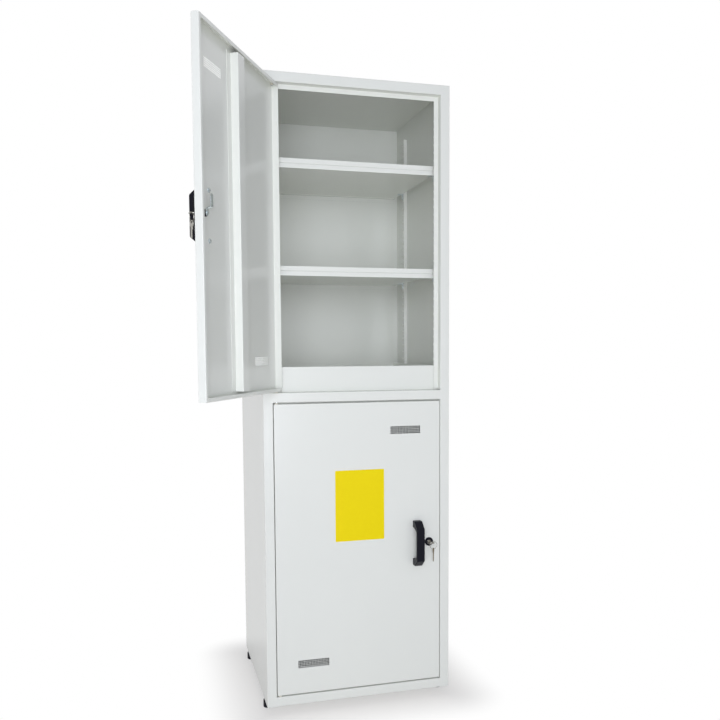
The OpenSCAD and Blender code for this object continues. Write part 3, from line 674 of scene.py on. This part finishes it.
def eyed(angle, reach, hole, thick):
    """A flat plate round a hole: its outline is a distance for each angle about the hole's centre."""
    edge = np.stack([reach, np.broadcast_to(hole, angle.shape)], -1)
    flat = np.stack([edge * np.cos(angle)[:, None], edge * np.sin(angle)[:, None]], -1)
    return plate(np.stack([np.concatenate([flat, np.full(flat.shape[:2] + (1,), z)], -1)
                           for z in (-thick / 2, thick / 2)]), ring=True)


corner = np.arctan2(neck_half, neck_reach)
angle = np.sort(np.concatenate([np.linspace(-np.pi, np.pi, 72, endpoint=False),
                                corner * np.array([-1, 1]), neck_meets * np.array([-1, 1])]))
oval = np.abs(np.sin(angle) / bow_half) ** bow_power + np.abs(np.cos(angle) / bow_reach) ** bow_power
oval = oval ** (-1 / bow_power)
neck = np.minimum(neck_half / np.maximum(np.abs(np.sin(angle)), 1e-6),
                  neck_reach / np.maximum(np.cos(angle), 1e-6))
reach = np.where(np.abs(angle) < neck_within, np.maximum(oval, neck), oval)
key = eyed(angle, reach, bow_hole_r, key_t)

sweep = np.linspace(0.15, 4 * np.pi - 0.15, 121)
step = 0.95 * wire_r * np.clip((sweep - 2 * np.pi) / 0.5, -1, 1)
round_wire = np.linspace(0, 2 * np.pi, 8, endpoint=False)
thick = np.where((np.arange(len(sweep)) == 0) | (np.arange(len(sweep)) == len(sweep) - 1), 0, wire_r)
coil = ring_r + thick[:, None] * np.cos(round_wire)
wire = np.stack([coil * np.cos(sweep)[:, None], coil * np.sin(sweep)[:, None],
                 step[:, None] + thick[:, None] * np.sin(round_wire)], -1)
split_ring = wrapped(wire)
ring_mid = [ring_r * np.cos(ring_lean), -bow_out, -ring_r * np.sin(ring_lean)]

angle = np.linspace(-np.pi, np.pi, 48, endpoint=False)
drop = spare_hole_r + spare_rim - spare_bow_r
reach = drop * np.sin(angle) + np.sqrt(spare_bow_r ** 2 - (drop * np.cos(angle)) ** 2)
spare_bow = eyed(angle, reach, spare_hole_r, spare_t)
teeth = np.array([(blade_half, -11), (blade_half, -17), (1.6, -19), (2.6, -21), (0.8, -23.5), (2.0, -26),
                  (1.2, -28), (2.8, -30.5), (1.4, -33), (2.2, -35), (0.4, blade_low), (-1.8, blade_low),
                  (-blade_half, -36.5), (-blade_half, -11)])
blade = prism(teeth, -spare_t / 2 + 0.1, spare_t / 2 - 0.1)
spare_up = -ring_r * np.sin(ring_lean) - ring_r - (spare_hole_r - wire_r - 0.4)
spares = {"upper": ("nickel", nickel), "lower": ("brass_key", brass_painted_dark)}
for level, (slot, finish) in spares.items():
    points, faces = key
    flat = points[:, [1, 0, 2]] + [0, -bow_out, 0]
    make(f"bow_key_{level}", [(hang(flat + lock_mid, level), faces)], f"lock_{level}", "nickel", nickel,
         f"key_{level}", rim=0.3)
    points, faces = split_ring
    make(f"split_ring_{level}", [(hang(points[:, [0, 2, 1]] + ring_mid + lock_mid, level), faces)],
         f"keys_{level}", "nickel", nickel, f"key_ring_{level}")
    shells = []
    for points, faces in (spare_bow, blade):
        p, q, r = points.T
        hung = np.stack([p * np.cos(spare_turn) + r * np.sin(spare_turn),
                         p * np.sin(spare_turn) - r * np.cos(spare_turn), q], -1)
        shells.append((hang(hung + [ring_mid[0], -bow_out, spare_up] + lock_mid, level), faces))
    make(f"spare_{level}", shells, f"keys_{level}", slot, finish, f"spare_key_{level}", rim=0.25)

# Door card: a plain self-adhesive card of yellow vinyl with rounded corners, stuck to the lower door's face.
card_low, card_high = corners_of("door_card")
card_corner = 3.0

# Satin calendered film: even, with a faint mottle of about 8 mm where the glue sits behind it.
yellow_vinyl = patchy("calendered yellow vinyl", 8.0, ("#f8e200", "#f4dc00"), (0.52, 0.62), 0.03, IOR=1.54,
                      Specular_IOR_Level=0.15)
x0, z0, x1, z1 = card_low[0], card_low[2], card_high[0], card_high[2]
middle = (x0 + x1) / 2
outline = bend([(middle, z0), (x1, z0), (x1, z1), (x0, z1), (x0, z0), (middle, z0)], card_corner)[0][:-1]
points, faces = prism(outline, card_low[1], card_high[1])
make("card", [(points[:, [0, 2, 1]], faces)], "door_lower", "card_yellow", yellow_vinyl, "door_card", rim=0.12)

# Floor: a plain pale studio floor that keeps the shadow and fades to white away from the cabinet.
span = 12.0
fade_end, shadow_share = 0.2, 0.5


def looked_at(tree):
    """One for rays from the camera, a reflection or a clear piece, and zero for those that only carry light."""
    path = add(tree, "LightPath").outputs
    seen = add(tree, "Math", {0: path["Is Camera Ray"], 1: path["Is Glossy Ray"]}, operation="MAXIMUM")
    seen = add(tree, "Math", {0: seen.outputs[0], 1: path["Is Transmission Ray"]}, operation="MAXIMUM")
    return seen.outputs[0]


mesh = bpy.data.meshes.new("floor")
mesh.from_pydata([(-span, -span, 0), (span, -span, 0), (span, span, 0), (-span, span, 0)], [], [(0, 1, 2, 3)])
ground = bpy.data.objects.new("floor", mesh)
bpy.context.scene.collection.objects.link(ground)
pale_floor, tree, shader, place = start_finish("pale studio floor", Roughness=0.9, Specular_IOR_Level=0.0)
shader.inputs["Base Color"].default_value = linear("#efeae3")
away = add(tree, "VectorMath", {0: place}, operation="ABSOLUTE")
away = add(tree, "VectorMath", {0: away.outputs[0], 1: (half_width * MM, rear * MM, 0.0)}, operation="SUBTRACT")
away = add(tree, "VectorMath", {0: away.outputs[0], 1: (0.0, 0.0, 0.0)}, operation="MAXIMUM")
away = add(tree, "VectorMath", {0: away.outputs[0]}, operation="LENGTH")
fade = add(tree, "MapRange", {"Value": away.outputs["Value"], "From Max": fade_end,
                              "To Min": 1 - shadow_share}, interpolation_type="SMOOTHSTEP")
white = add(tree, "Math", {0: looked_at(tree), 1: fade.outputs["Result"]}, operation="MULTIPLY")
glow = add(tree, "Emission", {"Color": (1, 1, 1, 1), "Strength": 1.0})
blend = add(tree, "MixShader", {0: white.outputs[0], 1: shader.outputs[0], 2: glow.outputs[0]})
tree.links.new(blend.outputs[0], tree.nodes["Material Output"].inputs["Surface"])
mesh.materials.append(pale_floor)

# Light: a white room that the camera and reflections see, two large soft lamps in front, the further one
# higher, and a weaker one at the left.
daylight = "#f1f4ff"
room = bpy.data.worlds.new("room")
bpy.context.scene.world = room
room.use_nodes = True
tree = room.node_tree
dim = add(tree, "Background", {"Color": linear(daylight), "Strength": 0.38})
bright = add(tree, "Background", {"Color": (1, 1, 1, 1), "Strength": 1.0})
blend = add(tree, "MixShader", {0: looked_at(tree), 1: dim.outputs[0], 2: bright.outputs[0]})
tree.links.new(blend.outputs[0], tree.nodes["World Output"].inputs["Surface"])


def lamp(name, place, aim, size, watts, colour):
    """A square soft lamp at a place, its face turned to the aim."""
    light = bpy.data.lights.new(name, "AREA")
    light.size = size
    light.energy = watts
    light.color = linear(colour)[:3]
    stand = bpy.data.objects.new(name, light)
    away = np.array(place) - np.array(aim)
    away = away / np.linalg.norm(away)
    level = np.cross([0, 0, 1], away)
    level = level / np.linalg.norm(level)
    stand.matrix_world = Matrix(np.column_stack([np.column_stack([level, np.cross(away, level), away]),
                                                 place]).tolist() + [[0, 0, 0, 1]])
    bpy.context.scene.collection.objects.link(stand)


lamp("key lamp", (-0.65, -3.45, 1.2), (0.0, -0.2, 1.1), 1.8, 42.0, daylight)
lamp("high lamp", (-1.0, -4.8, 1.9), (0.0, -0.2, 1.1), 2.4, 42.0, daylight)
lamp("side lamp", (-4.0, -0.4, 1.6), (0.0, 0.0, 1.0), 2.0, 18.0, daylight)

# Camera: eye height at the left, turned a little to the right, with the frame's centre shifted.
frame_px = 720.0
focal_px = 805.867
middle_px = (369.427, 410.458)
eye = (-0.639126, -2.7039, 1.1398)
yaw, pitch, roll = np.radians((-15.482, -4.354, 0.301))
view = bpy.data.cameras.new("camera")
view.sensor_width = 36.0
view.lens = focal_px / frame_px * view.sensor_width
view.shift_x = (frame_px / 2 - middle_px[0]) / frame_px
view.shift_y = (middle_px[1] - frame_px / 2) / frame_px
view.clip_end = 60.0
camera = bpy.data.objects.new("camera", view)
camera.matrix_world = (Matrix.Translation(eye) @ Matrix.Rotation(yaw, 4, "Z") @ Matrix.Rotation(pitch, 4, "X")
                       @ Matrix.Rotation(roll, 4, "Y") @ Matrix.Rotation(np.pi / 2, 4, "X"))
bpy.context.scene.collection.objects.link(camera)
bpy.context.scene.camera = camera
bpy.context.scene.view_settings.view_transform = "Standard"
